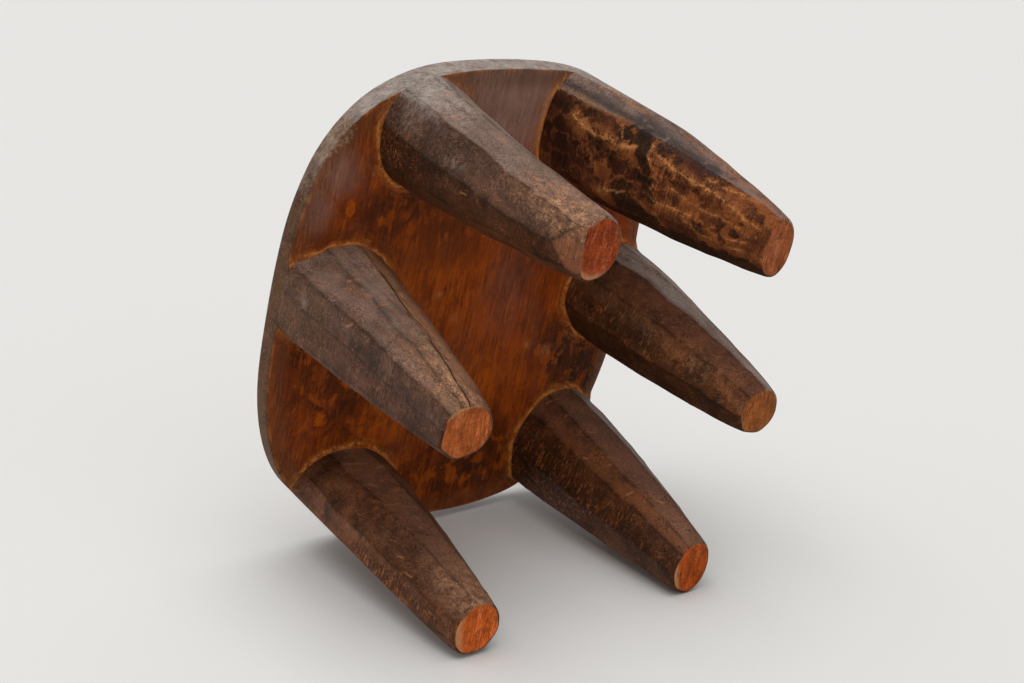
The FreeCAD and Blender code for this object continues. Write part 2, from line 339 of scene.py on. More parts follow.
PURPLE_BROWN = (0.150, 0.040, 0.015)
MAHOGANY = (0.245, 0.132, 0.098)
CHARRED = (0.016, 0.009, 0.005)
SOOT = (0.040, 0.032, 0.029)
CHAR_DARK = (0.042, 0.013, 0.007)
CHAR_BROWN = (0.225, 0.066, 0.019)
GLOW_BROWN = (0.420, 0.140, 0.041)
GOLD_AND_HIGHLIGHT = (0.540, 0.235, 0.075)
FOOT_EDGE = (0.500, 0.255, 0.120)
SEAT_BROWN = (0.100, 0.046, 0.025)
SEAT_WORN = (0.190, 0.090, 0.048)
SEAT_GRAIN = (0.055, 0.022, 0.011)


def ripple(seed, length, *coords, waves=7):
    """Smooth unevenness, mostly within -1 to 1: seeded waves of about that length."""
    rng = np.random.default_rng(seed)
    total = 0.0
    for _ in range(waves):
        heading = rng.normal(size=len(coords))
        heading /= np.linalg.norm(heading)
        pitch = length * rng.uniform(0.7, 1.6)
        along = sum(part * coord for part, coord in zip(heading, coords))
        total = total + np.sin(2 * math.pi * along / pitch + rng.uniform(0, 2 * math.pi))
    return total / math.sqrt(waves)


def ease(value, low, high):
    """Smooth step from 0 at low to 1 at high."""
    share = np.clip((value - low) / (high - low), 0, 1)
    return share * share * (3 - 2 * share)


def painted(patches, first, second, full_turn=None, corner=2):
    """How strongly patches cover each point. A high corner number makes them squarer."""
    total = np.zeros_like(first)
    for patch in patches:
        off = second - patch.middle[1]
        if full_turn:
            off = (off + full_turn / 2) % full_turn - full_turn / 2
        far = np.abs((first - patch.middle[0]) / patch.reach[0]) ** corner
        far = far + np.abs(off / patch.reach[1]) ** corner
        total = np.maximum(total, patch.strength * np.exp(-far ** PATCH_EDGE))
    return total


def drawn(strokes, rise, angle, spread=1.0, edge=1.0):
    """How strongly lines cover each point of a leg. A high edge number makes them end sharply."""
    total = np.zeros_like(rise)
    for stroke in strokes:
        for (rise1, angle1), (rise2, angle2) in zip(stroke.points, stroke.points[1:]):
            up = (rise - rise1) * UNDERSIDE
            along = np.radians((angle - angle1 + 180) % 360 - 180) * GIRTH
            run_up = (rise2 - rise1) * UNDERSIDE
            run_along = math.radians(angle2 - angle1) * GIRTH
            part = np.clip((up * run_up + along * run_along) / (run_up ** 2 + run_along ** 2), 0, 1)
            far = np.hypot(up - part * run_up, along - part * run_along) / (stroke.width * spread)
            total = np.maximum(total, np.exp(-far ** (2 * edge)))
    return total


def frayed(rise, angle, amount):
    """Places on a leg shifted a little every way, so that painted edges come out uneven."""
    up = rise * UNDERSIDE
    along = np.radians(angle) * GIRTH
    shifts = [amount * (ripple(seed, 0.017, up, along) + 0.7 * ripple(seed + 1, 0.006, up, along))
              for seed in (61, 63)]
    return rise + shifts[0] / UNDERSIDE, angle + np.degrees(shifts[1] / GIRTH)


def outline_level(x, y):
    """Below 1 inside the seat's outline, 1 on it."""
    return (np.abs(x) / HALF_WIDTH) ** OUTLINE_POWER + (np.abs(y) / HALF_LENGTH) ** OUTLINE_POWER


def reach_to_outline(x, y, angle):
    """How far the outline lies from a point inside it, in a direction."""
    near = np.zeros_like(angle)
    far = np.full_like(angle, 2 * HALF_LENGTH + 2 * HALF_WIDTH)
    for _ in range(28):
        middle = (near + far) / 2
        inside = outline_level(x + middle * np.cos(angle), y + middle * np.sin(angle)) < 1
        near = np.where(inside, middle, near)
        far = np.where(inside, far, middle)
    return near


def rim_waver(x, y):
    """How far the rim stands in from its true outline: shallow tool flats."""
    return RIM_WAVER * (0.5 + 0.5 * np.clip(ripple(35, 0.075, x, y), -1, 1))


def underside_height(x, y):
    """Height of the seat's underside before tool marks: the rim is deeper at the rear."""
    return UNDERSIDE - REAR_RIM_DROP * ease(y, *DROP_ALONG) * ease(x, *DROP_ACROSS)


def leg_axis(leg, height):
    """Middle of a leg at a height."""
    share = np.clip(height / UNDERSIDE, 0, 1)
    foot = FEET[leg.node]
    return (foot[0] + (leg.top[0] - foot[0]) * share,
            foot[1] + (leg.top[1] - foot[1]) * share)


def leg_facets(leg, height, flared):
    """Facing angle, depth from the axis, lightness (partly painted shade) and greyness (partly
    painted sheen) of each facet of a leg, at each height.
    """
    rng = np.random.default_rng(leg.seed)
    rise = np.clip(height / UNDERSIDE, 0, 1)
    size = leg.top_radius + (leg.foot_radius - leg.top_radius) * (1 - rise) ** LEG_TAPER_POWER
    if flared:
        size = size + FLARE_WIDTH * np.clip(1 - (UNDERSIDE - height) / FLARE_HEIGHT, 0, 1) ** 2
    corners = []
    for number, ridge in enumerate(leg.ridges):
        turn = ridge.foot + (ridge.seat - ridge.foot) * rise
        turn = np.radians(turn + RIDGE_SWAY * ripple(leg.seed * 40 + number, 0.09, height, waves=4))
        reach = RIDGE_REACH + rng.uniform(-0.012, 0.012) + (ridge.reach - 1) * rise ** 2
        reach = size * (reach - ridge.waist * 4 * rise * (1 - rise))
        wide, deep = [1 + (top - 1) * rise + (foot - 1) * (1 - rise) ** 2
                      for top, foot in zip(leg.oval, leg.foot_oval)]
        corners.append((reach * np.cos(turn) * wide, reach * np.sin(turn) * deep))
    for number, (x1, y1) in enumerate(corners):
        x2, y2 = corners[(number + 1) % len(corners)]
        facing = np.arctan2(x1 - x2, y2 - y1)
        depth = x1 * np.cos(facing) + y1 * np.sin(facing)
        depth = depth + FACET_WAVER * ripple(leg.seed * 70 + number, 0.08, height, waves=4)
        stroke = height / (STROKE_LENGTH * rng.uniform(0.75, 1.35)) + rng.uniform(0, 1)
        stroke = stroke + 0.25 * ripple(leg.seed * 90 + number, 0.11, height, waves=3)
        part = stroke - np.floor(stroke)
        ridge = leg.ridges[number]
        yield facing, depth - STROKE_DEPTH * 4 * part * (1 - part), ridge.tone, ridge.grey_and_sheen
    if leg.chamfer is not None:
        depth = leg.foot_radius * (CHAMFER_DEPTH + CHAMFER_SLOPE * height / CHAMFER_HEIGHT)
        yield math.radians(leg.chamfer), depth, CHAMFER_TONE, 0.0


def leg_section(leg, height, angle, flared=True):
    """Radius of a leg round its axis, its nearness to a ridge, lightness (partly painted shade),
    greyness (partly painted sheen) and share of the outer face.
    """
    cuts = []
    tones_and_shade = []
    greys_and_sheen = []
    for facing, depth, tone, grey_and_sheen in leg_facets(leg, height, flared):
        lean = np.cos(angle - facing)
        cuts.append(np.where(lean > 0.2, depth / np.maximum(lean, 0.2), 9.0))
        tones_and_shade.append(tone)
        greys_and_sheen.append(grey_and_sheen)
    cuts = np.array(cuts)
    order = np.sort(cuts, axis=0)
    ridge = np.exp(-(order[1] - order[0]) / RIDGE_LINE)
    facet = np.argmin(cuts, axis=0)
    tone = np.array(tones_and_shade)[facet]
    grey_and_sheen = np.array(greys_and_sheen)[facet]
    crisp = ease(height, 0, SOFT_AT_FOOT) * ease(UNDERSIDE - height, 0, SOFT_AT_SEAT)
    sharpness = END_SHARPNESS + (RIDGE_SHARPNESS - END_SHARPNESS) * crisp
    facet_radius = order[0] * ((order[0] / cuts) ** sharpness).sum(0) ** (-1 / sharpness)
    axis_x, axis_y = leg_axis(leg, height)
    outer = reach_to_outline(axis_x, axis_y, angle)
    edge_x = axis_x + outer * np.cos(angle)
    edge_y = axis_y + outer * np.sin(angle)
    outer = outer - rim_waver(edge_x, edge_y)
    under = underside_height(edge_x, edge_y)
    flush = ease(facet_radius - outer, -2.0 * MM, 1.0 * MM) * ease(height / UNDERSIDE, 0.55, 0.95)
    outer = outer - SUNK_RECESS * ease(height, under - 0.5 * MM, under + 1.5 * MM)
    radius = (facet_radius ** -RIDGE_SHARPNESS + outer ** -RIDGE_SHARPNESS) ** (-1 / RIDGE_SHARPNESS)
    return radius, ridge, tone, grey_and_sheen, flush


def add_attribute(mesh, name, values):
    """Store one number per vertex for the finishes."""
    attribute = mesh.attributes.new(name, "FLOAT", "POINT")
    attribute.data.foreach_set("value", np.asarray(values, dtype=np.float32))


def finish_piece(bm, name, node, slot, finishes):
    """Turn a shaped bmesh into a smooth-shaded piece that stands for a node."""
    bmesh.ops.recalc_face_normals(bm, faces=bm.faces)
    mesh = bpy.data.meshes.new(name)
    bm.to_mesh(mesh)
    bm.free()
    mesh.polygons.foreach_set("use_smooth", np.ones(len(mesh.polygons), dtype=bool))
    for finish in finishes:
        mesh.materials.append(finish)
    piece = bpy.data.objects.new(name, mesh)
    bpy.context.scene.collection.objects.link(piece)
    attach(piece, "root")
    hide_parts(node)
    return piece


def place_vertices(bm, x, y, z):
    """Move every vertex of a bmesh to its carved place."""
    for vertex, place in zip(bm.verts, np.stack([x, y, z], axis=1)):
        vertex.co = place


def leg_marks(leg, rise, angle, facet_grey_and_sheen):
    """How strongly each kind of mark covers each point of a leg."""
    spot = frayed(rise, angle, FRAY)
    ragged = frayed(rise, angle, CHAR_FRAY)
    patches = defaultdict(list, leg.patches)
    strokes = defaultdict(list, leg.strokes)
    marks = {kind: painted(patches[kind], *spot, 360) for kind in LEG_MARKS}
    marks.update({kind: drawn(strokes[kind], rise, angle) for kind in LEG_LINES})
    # Golden strokes: veins, and painted highlights along the ridges; the glow is their wider halo.
    marks["gold_and_highlight"] = drawn(strokes["gold_and_highlight"], *spot)
    marks["glow"] = drawn(strokes["gold_and_highlight"], *spot, spread=GLOW_SPREAD)
    marks["char"] = np.maximum(painted(patches["char"], *ragged, 360, corner=4),
                               drawn(strokes["char"], *ragged, edge=2))
    marks["grey_and_sheen"] = np.maximum(facet_grey_and_sheen, painted(patches["grey_and_sheen"], *spot, 360))
    return marks


def make_leg(leg, finishes):
    """A leg carved from a plain round post: rings up its length, and a sawn foot."""
    bm = bmesh.new()
    bmesh.ops.create_cone(bm, cap_ends=True, segments=LEG_SIDES, radius1=1, radius2=1, depth=1)
    upright = [edge for edge in bm.edges if abs(edge.verts[0].co.z - edge.verts[1].co.z) > 0.5]
    bmesh.ops.subdivide_edges(bm, edges=upright, cuts=LEG_RINGS, use_grid_fill=True)
    foot = [face for face in bm.faces if face.normal.z < -0.5]
    for width in FOOT_RING_WIDTHS:
        bmesh.ops.inset_region(bm, faces=foot, thickness=width, use_even_offset=True)
    for face in bm.faces:
        face.material_index = 1 if face.calc_center_median().z < -0.4999 else 0
    start = np.array([vertex.co for vertex in bm.verts])
    angle = np.arctan2(start[:, 1], start[:, 0])
    share = np.hypot(start[:, 0], start[:, 1])
    step = start[:, 2] + 0.5
    step = (1 - RING_CROWDING) * step + RING_CROWDING * (1 - np.cos(math.pi * step)) / 2
    height = step * (UNDERSIDE + LEG_SUNK)
    radius, ridge, tone, grey_and_sheen, flush = leg_section(leg, height, angle)
    rounding = FOOT_ROUNDING * (1 + 0.3 * ripple(leg.seed + 80, 1.6, angle, waves=3))
    edge = np.clip(1 - height / rounding, 0, 1)
    radius = radius - rounding * (1 - np.sqrt(1 - edge ** 2)) * 0.8
    axis_x, axis_y = leg_axis(leg, height)
    x = axis_x + share * radius * np.cos(angle)
    y = axis_y + share * radius * np.sin(angle)
    on_foot = (share < 0.999) & (height < MM)
    saw = SAW_DEPTH * ripple(leg.seed + 50, 0.02, x, y * 0.3) * ease(1 - share, 0, 0.25)
    place_vertices(bm, x, y, height + np.where(on_foot, np.abs(saw), 0))
    piece = finish_piece(bm, f"carved_{leg.node}", leg.node, leg.slot, finishes)
    rise = height / UNDERSIDE
    marks = leg_marks(leg, rise, np.degrees(angle), grey_and_sheen)
    marks.update(rise=rise, ridge=ridge, tone=tone, flush=flush, end_share=share)
    for name, values in marks.items():
        add_attribute(piece.data, name, values)
    tint = piece.data.attributes.new("foot_colour", "FLOAT_VECTOR", "POINT")
    tint.data.foreach_set("vector", np.tile(np.float32(leg.foot_colour), len(rise)))
    return piece


def gap_to_legs(x, y):
    """How far each point of the underside lies outside the nearest leg, negative inside it."""
    nearest = np.full_like(x, 1.0)
    around = np.linspace(-math.pi, math.pi, 721)
    for leg in LEGS:
        contour = leg_section(leg, np.full_like(around, UNDERSIDE), around, flared=False)[0]
        angle = np.arctan2(y - leg.top[1], x - leg.top[0])
        gap = np.hypot(x - leg.top[0], y - leg.top[1]) - np.interp(angle, around, contour)
        nearest = np.minimum(nearest, gap)
    return nearest


def carved_underside(x, y, share, gap, clear_of_legs):
    """Height of the underside with its tool marks, its fillets to the legs and the lift along its sides."""
    inward = ease(1 - share, 0, 0.08)
    under = underside_height(x, y) + UNDERSIDE_ROLL * ripple(33, 0.09, x, y * 0.6) * inward * clear_of_legs
    under = under + ADZE_DEPTH * ripple(36, 0.022, x, y * 0.45) * inward * clear_of_legs
    under = under - FILLET_HEIGHT * np.clip(1 - gap / FILLET_WIDTH, 0, 1) ** 2 * inward
    margin = np.clip(1 - (1 - share) / SIDE_MARGIN, 0, 1) ** 1.3
    return under + SIDE_LIFT * margin * ease(np.abs(x), *SIDE_START) * ease(gap, 0, 10 * MM)


def dished_top(x, y, share):
    """Height of the top: a shallow dish with faint tool marks."""
    bowl = np.clip(1 - (share / DISH_SHARE) ** 2, 0, 1)
    tool = ADZE_DEPTH * (1 + ripple(34, 0.03, x * 0.5, y)) * ease(1 - share, 0.02, 0.1)
    return SEAT_TOP - DISH_DEPTH * bowl - tool


def rim_profile(ring, share, inset, under, top, under_edge, top_edge):
    """Inset and height of each point: the underside, the rim with its two worn edges, and the top."""
    height = np.where(ring == 0, under, top)
    on_rim = share > OUTERMOST
    last_under = len(EDGE_TURN) - 1
    first_top = RIM_RINGS - TOP_EDGE_RINGS
    for number in range(RIM_RINGS + 1):
        here = on_rim & (ring == number)
        if number <= last_under:
            inset = np.where(here, inset + under_edge * EDGE_TURN[last_under - number], inset)
            height = np.where(here, under + under_edge * EDGE_TURN[number], height)
        elif number <= first_top:
            part = (number - last_under) / (first_top - last_under)
            low = under + under_edge
            height = np.where(here, low + (SEAT_TOP - top_edge - low) * part, height)
        else:
            turn = math.radians(90 * (number - first_top) / TOP_EDGE_RINGS)
            inset = np.where(here, inset + top_edge * (1 - math.cos(turn)), inset)
            height = np.where(here, SEAT_TOP - top_edge * (1 - math.sin(turn)), height)
    inset = np.where(~on_rim & (ring == 0), inset + under_edge * share, inset)
    inset = np.where(~on_rim & (ring == RIM_RINGS), inset + top_edge * share, inset)
    return inset, height


def make_seat(finishes):
    """The seat slab: adzed underside with fillets to the legs, worn rim and a dished top."""
    bm = bmesh.new()
    bmesh.ops.create_grid(bm, x_segments=SEAT_GRID[0], y_segments=SEAT_GRID[1], size=1)
    grown = bmesh.ops.extrude_face_region(bm, geom=bm.faces[:], use_keep_orig=True)
    for item in grown["geom"]:
        if isinstance(item, bmesh.types.BMVert):
            item.co.z = 1
    upright = [edge for edge in bm.edges if abs(edge.verts[0].co.z - edge.verts[1].co.z) > 0.5]
    bmesh.ops.subdivide_edges(bm, edges=upright, cuts=RIM_RINGS - 1, use_grid_fill=True)
    start = np.array([vertex.co for vertex in bm.verts])
    across = start[:, 0] * np.sqrt(1 - start[:, 1] ** 2 / 2)
    along = start[:, 1] * np.sqrt(1 - start[:, 0] ** 2 / 2)
    angle = np.arctan2(along, across)
    share = np.hypot(across, along)
    ring = np.rint(start[:, 2] * RIM_RINGS).astype(int)
    spread = (np.abs(np.cos(angle)) ** OUTLINE_POWER
              + np.abs(np.sin(angle)) ** OUTLINE_POWER) ** (-1 / OUTLINE_POWER)
    x = HALF_WIDTH * share * spread * np.cos(angle)
    y = HALF_LENGTH * share * spread * np.sin(angle)
    gap = gap_to_legs(x, y)
    clear_of_legs = ease(gap, 0.5 * MM, 6 * MM)
    under_edge = UNDER_EDGE * (1 + 0.5 * ripple(31, 0.05, x, y)) * clear_of_legs
    top_edge = TOP_EDGE * (1 + 0.2 * ripple(32, 0.09, x, y))
    under = carved_underside(x, y, share, gap, clear_of_legs)
    top = dished_top(x, y, share)
    inset, height = rim_profile(ring, share, rim_waver(x, y) * share, under, top, under_edge, top_edge)
    place_vertices(bm, x * (1 - inset / HALF_WIDTH), y * (1 - inset / HALF_LENGTH), height)
    piece = finish_piece(bm, "carved_seat", "seat", "seat_wood", finishes)
    marks = {kind: painted(patches, x, y) for kind, patches in SEAT_PATCHES.items()}
    marks.update(leg_gap=gap, share=share,
                 rim=((ring > 0) & (ring < RIM_RINGS)) * 1.0,
                 top_side=(ring >= RIM_RINGS - 2) * 1.0)
    for name, values in marks.items():
        add_attribute(piece.data, name, values)
    return piece


class Wire:
    """A socket in a node tree. Arithmetic on it adds Math nodes."""

    def __init__(self, nodes, socket):
        self.nodes = nodes
        self.socket = socket

    def math(self, operation, *others):
        return self.nodes.node("ShaderNodeMath", {"operation": operation}, dict(enumerate((self, *others))))

    def __add__(self, other):
        return self.math("ADD", other)

    def __sub__(self, other):
        return self.math("SUBTRACT", other)

    def __rsub__(self, other):
        return (self * -1) + other

    def __mul__(self, other):
        return self.math("MULTIPLY", other)

    __radd__ = __add__
    __rmul__ = __mul__


class Nodes:
    """A shader node tree, built from wires."""

    def __init__(self, tree):
        self.tree = tree

    def plug(self, socket, value):
        """Link a wire to a socket, or set the socket's own value."""
        if isinstance(value, Wire):
            self.tree.links.new(value.socket, socket)
        elif isinstance(value, tuple) and len(socket.default_value) == 4:
            socket.default_value = (*value, 1)
        else:
            socket.default_value = value

    def node(self, kind, settings, sockets, output=0):
        """Add a node: its settings first, then its sockets."""
        node = self.tree.nodes.new(kind)
        for name, value in settings.items():
            setattr(node, name, value)
        for key, value in sockets.items():
            self.plug(node.inputs[key], value)
        return Wire(self, node.outputs[output])

    def step(self, value, low, high):
        return self.node("ShaderNodeMapRange", {"interpolation_type": "SMOOTHSTEP"},
                         {0: value, 1: low, 2: high, 3: 0.0, 4: 1.0})

    def mix(self, amount, first, second, blend="MIX"):
        return self.node("ShaderNodeMix", {"data_type": "RGBA", "blend_type": blend},
                         {0: amount, 6: first, 7: second}, output=2)

    def shade(self, colour, amount):
        return self.mix(1.0, colour, amount, "MULTIPLY")

    def line(self, value, width):
        """1 along the middle level of a noise, falling to 0 a little way off it."""
        return 1 - self.step((value - 0.5).math("ABSOLUTE"), 0.0, width)


class Finish(Nodes):
    """A material, with its main shader."""

    def __init__(self, name, gloss):
        self.material = bpy.data.materials.new(name)
        self.material.use_nodes = True
        super().__init__(self.material.node_tree)
        self.shader = self.tree.nodes["Principled BSDF"]
        self.shader.inputs["Specular IOR Level"].default_value = gloss


class Wood(Finish):
    """A procedural wood: patterns over the piece's own coordinates, and a colour laid on in coats."""

    def __init__(self, name, gloss):
        super().__init__(name, gloss)
        self.at = self.node("ShaderNodeTexCoord", {}, {}, output="Object")
        self.colour = None

    def mark(self, name, output="Fac"):
        return self.node("ShaderNodeAttribute", {"attribute_name": name}, {}, output)

    def stretched(self, scale, turn=(0, 0, 0)):
        """Coordinates turned, then scaled along their own axes; a small scale draws marks out long."""
        lengths = tuple(1 / part for part in scale)
        return self.node("ShaderNodeMapping", {"vector_type": "TEXTURE"},
                         {"Vector": self.at, "Rotation": turn, "Scale": lengths})

    def noise(self, scale, detail, roughness, distortion=0.0, stretch=None, turn=(0, 0, 0), at=None):
        """Noise over the piece, drawn out by a stretch, or over other coordinates."""
        if at is None:
            at = self.stretched(stretch, turn) if stretch else self.at
        return self.node("ShaderNodeTexNoise", {}, {"Vector": at, "Scale": scale, "Detail": detail,
                                                    "Roughness": roughness, "Distortion": distortion})

    def coat(self, amount, paint):
        """Lay a colour over the coats so far, by an amount from 0 to 1."""
        self.colour = self.mix(amount, self.colour, paint)

    def vary(self, amount):
        """Make the coats so far lighter and darker, by a shade round 1."""
        self.colour = self.shade(self.colour, amount)

    def surface(self, roughness, height, depth):
        """Feed the shader: the coats, a roughness and a bump that deep."""
        self.plug(self.shader.inputs["Base Color"], self.colour)
        self.plug(self.shader.inputs["Roughness"], roughness)
        bump = self.node("ShaderNodeBump", {},
                         {"Strength": BUMP_STRENGTH, "Distance": depth, "Height": height})
        self.plug(self.shader.inputs["Normal"], bump)
        return self.material


# Run of the grain and of the tool lines, and strength of the bumps
GRAIN = (1, 0.06, 1)
FOOT_GRAIN = (1, 0.14, 1)
SLANT = (0, -0.535, -0.785)
BUMP_STRENGTH = 0.7


def fine_grain(finish, scale, grain=GRAIN):
    """Streaks along the grain and pepper-fine mottling, each from 0 to 1, and both as a shade round 1.

    The streaks come and go, so that some areas stay smooth.
    """
    streak = finish.step(finish.noise(scale, 3, 0.72, stretch=grain), 0.34, 0.66)
    pepper = finish.step(finish.noise(scale * 1.35, 3, 0.75), 0.32, 0.68)
    fading = finish.step(finish.noise(38, 3, 0.6), 0.38, 0.62)
    shade = 1 + (streak - 0.5) * (0.2 + 0.8 * fading) + (pepper - 0.5) * 0.34
    return streak, pepper, shade


def weathered(finish):
    """Skin of the rim and of the legs' outer faces: brown, greyed at the rear partly by painted sheen,
    with slanting tool lines.
    """
    slant = finish.noise(620, 4, 0.72, stretch=(0.14, 1, 1), turn=SLANT)
    blotch = finish.noise(60, 6, 0.7)
    fleck = finish.noise(420, 4, 0.75)
    rear = finish.node("ShaderNodeSeparateXYZ", {}, {0: finish.at}, output="Y") + (blotch - 0.5) * 0.12
    # The rear faces the light: its greyness is partly painted sheen.
    colour = finish.mix(finish.step(rear, 0.08, 0.2), WEATHERED_BROWN, RIM_GREY_AND_SHEEN)
    shade = 0.5 + 0.5 * finish.step(slant, 0.34, 0.66) + 0.5 * finish.step(blotch, 0.34, 0.66)
    colour = finish.shade(colour, shade + (finish.step(fleck, 0.32, 0.68) - 0.5) * 0.3)
    colour = finish.mix(finish.step(fleck + (slant - 0.5) * 0.9, 0.56, 0.72) * 0.35, colour, WORN_TAN)
    streaks = finish.noise(150, 4, 0.65, stretch=(0.2, 1, 1), turn=SLANT)
    return finish.mix(finish.step(streaks + (blotch - 0.5) * 0.8, 0.5, 0.66) * 0.5, colour, WEATHERED_BROWN)


def weather_and_sheen_streaks(finish, blotch):
    """How far the greyness has come through, in streaks down the leg: weathered wood and painted sheen."""
    streaks = finish.noise(170, 4, 0.65, stretch=(1, 1, 0.12))
    return 0.5 + 0.6 * finish.step(streaks + (blotch - 0.5) * 0.5, 0.34, 0.62)


def scratches(finish, turn, where):
    """Fine broken lines in one direction, in clusters, from 0 to 1."""
    lines = finish.noise(820, 2, 0.5, stretch=(1, 1, 0.07), turn=turn)
    return finish.step(lines, 0.60, 0.68) * finish.step(where, 0.47, 0.6)


def stained_facets(finish, streak, blotch, cloud, mottle):
    """Leg before wear: dark to brown by facet, partly painted shade, with reddish areas, partly painted
    warm bounce light, greyed areas, partly painted sheen, and torn fibres.
    """
    # Facet lightness, partly painted shade: facets facing away from the light are set darker.
    depth = finish.mark("tone") + (blotch - 0.5) * 1.5 + (cloud - 0.5) * 0.8 + (mottle - 0.5) * 0.4
    finish.colour = finish.mix(finish.step(depth, -0.1, 1.1), DARK_STAIN, BROWN_STAIN)
    # Red areas: partly the wood's own redness, partly painted warm bounce light on the lower flanks.
    red = finish.mark("red") * finish.step(cloud + (blotch - 0.5), 0.3, 0.6)
    finish.coat(red * 0.85, finish.shade(RED_BROWN, 0.4 + finish.step(depth, 0.0, 1.1)))
    # Greyed facets: partly weathering, partly painted sheen on facets that face the light.
    grey_and_sheen = finish.mark("grey_and_sheen") * weather_and_sheen_streaks(finish, blotch)
    finish.coat(grey_and_sheen, WEATHERED_GREY_AND_SHEEN)
    lines = finish.noise(420, 3, 0.65, 0.3, stretch=(1, 0.1, 1), turn=(0, 0, 0.5))
    raw = finish.mix(streak, RED_BROWN, RAW_ORANGE)
    fibres = finish.mix(finish.step(lines, 0.52, 0.62), DARK_STAIN, raw)
    torn = finish.mark("fibre") * finish.step(blotch + (cloud - 0.5), 0.32, 0.54)
    finish.coat(torn * 0.9, fibres)


def worn_areas(finish, cloud, mottle):
    """Leg rubbed through to tan in patches, dashes, speckle and flecks, with less of it on red areas,
    which are partly the wood's redness and partly painted warm bounce light.
    """
    calm = 1 - finish.mark("red") * 0.75
    worn = finish.step(finish.noise(60, 5, 0.65, stretch=(1, 0.6, 0.5)), 0.54, 0.68)
    rubbed = finish.mark("tan") * finish.step(cloud + mottle * 0.6, 0.55, 0.85)
    worn = (worn * 0.25).math("MAXIMUM", rubbed * 0.95)
    finish.coat(worn * calm, WORN_TAN)
    dashes = finish.noise(760, 3, 0.7, stretch=(1, 0.25, 1))
    finish.coat(finish.step(dashes, 0.57, 0.7) * 0.22 * calm, WORN_TAN)
    drawn_out = finish.noise(700, 5, 0.75, stretch=(1, 1, 0.45))
    speckle = finish.mark("speckle") * finish.step(drawn_out + (cloud - 0.5) * 0.9, 0.48, 0.6)
    finish.coat(speckle * 0.8, finish.mix(cloud, TAN, WARM_TAN))
    fleck = finish.step(finish.noise(480, 3, 0.6, stretch=(1, 0.5, 1)), 0.62, 0.7)
    finish.coat(fleck * 0.25 * calm, TAN)


def scraped(finish, pepper, cloud, mottle):
    """Leg with its later marks: pale scuffs, scrapes across it, scratches and nicks."""
    scuff = finish.noise(260, 5, 0.75, stretch=(1, 0.5, 1))
    finish.coat(finish.mark("pale") * finish.step(scuff, 0.44, 0.62) * 0.65, PALE_SCUFF)
    specks = finish.step(finish.mark("scuff") + (mottle - 0.5) * 3.5, 0.6, 1.5)
    finish.coat(specks * 0.5, PALE_SCUFF)
    scrape = finish.mark("scrape")
    across = finish.noise(700, 2, 0.5, stretch=(0.1, 0.1, 1.0), turn=(0.2, -0.15, 0))
    lines = finish.step(across, 0.58, 0.66) * finish.step(cloud, 0.42, 0.58)
    finish.coat(scrape * lines * 0.8, RAW_ORANGE)
    patchy = finish.noise(75, 3, 0.6)
    lines = scratches(finish, (0.35, 0.25, 0), patchy)
    lines = lines.math("MAXIMUM", scratches(finish, (1.2, 0.3, 0), cloud))
    finish.coat(lines * (0.35 + 0.3 * scrape), finish.mix(pepper, RAW_ORANGE, TAN))
    nicks = finish.step(finish.mark("nick") + (mottle - 0.5) * 1.2, 0.4, 0.9)
    finish.coat(nicks * 0.6, NICK)


def hair_cracks(finish, blotch, cloud):
    """Fine dark lines, from 0 to 1: hairs down the leg, crazing where speckled, checks along the grain."""
    hairs = finish.line(finish.noise(75, 4, 0.65, stretch=(1, 1, 0.2)), 0.015)
    hairs = hairs * finish.step(cloud, 0.45, 0.56)
    crazing = finish.line(finish.noise(170, 4, 0.6, 0.5, stretch=(1, 1, 0.4)), 0.035)
    hairs = hairs.math("MAXIMUM", crazing * finish.mark("speckle"))
    checks = finish.step(finish.noise(380, 3, 0.6, stretch=(1, 0.16, 1)), 0.62, 0.7)
    return hairs.math("MAXIMUM", checks * finish.step(blotch, 0.42, 0.58) * 0.5)


def leg_finish():
    """Dark stained leg: mottled facets, worn tan, dark soiling that is partly painted shade on the lower
    sides, raw fibres, speckle, nicks and dark ridge lines.
    """
    finish = Wood("leg_wood", 0.05)
    streak, pepper, fine = fine_grain(finish, 950)
    blotch = finish.noise(32, 5, 0.6)
    cloud = finish.noise(120, 6, 0.7)
    mottle = finish.noise(560, 5, 0.78)
    stained_facets(finish, streak, blotch, cloud, mottle)
    worn_areas(finish, cloud, mottle)
    finish.coat(finish.mark("flush") * 0.9, weathered(finish))
    # Dark soiling, heavier under the dirt patches, which partly paint shade on the lower sides of the legs.
    dirt_and_shade = finish.step(finish.noise(46, 6, 0.66) + finish.mark("dirt_and_shade") * 0.14, 0.56, 0.7)
    finish.coat(dirt_and_shade * 0.45, CHARRED)
    finish.vary(fine)
    scraped(finish, pepper, cloud, mottle)
    seam = finish.mark("ridge") * finish.step(finish.noise(50, 5, 0.7), 0.36, 0.56)
    finish.coat(seam * 0.7, CHARRED)
    hairs = hair_cracks(finish, blotch, cloud)
    crack = finish.step(finish.mark("crack") + (cloud - 0.5) * 1.2, 0.3, 0.8)
    finish.coat((hairs * 0.55).math("MAXIMUM", crack * 0.95), CHARRED)
    height = streak * 0.25 + mottle * 0.2 + cloud * 0.7 - hairs * 0.5 - crack * 1.3
    return finish.surface(0.42 + 0.2 * cloud, height, 0.55 * MM)


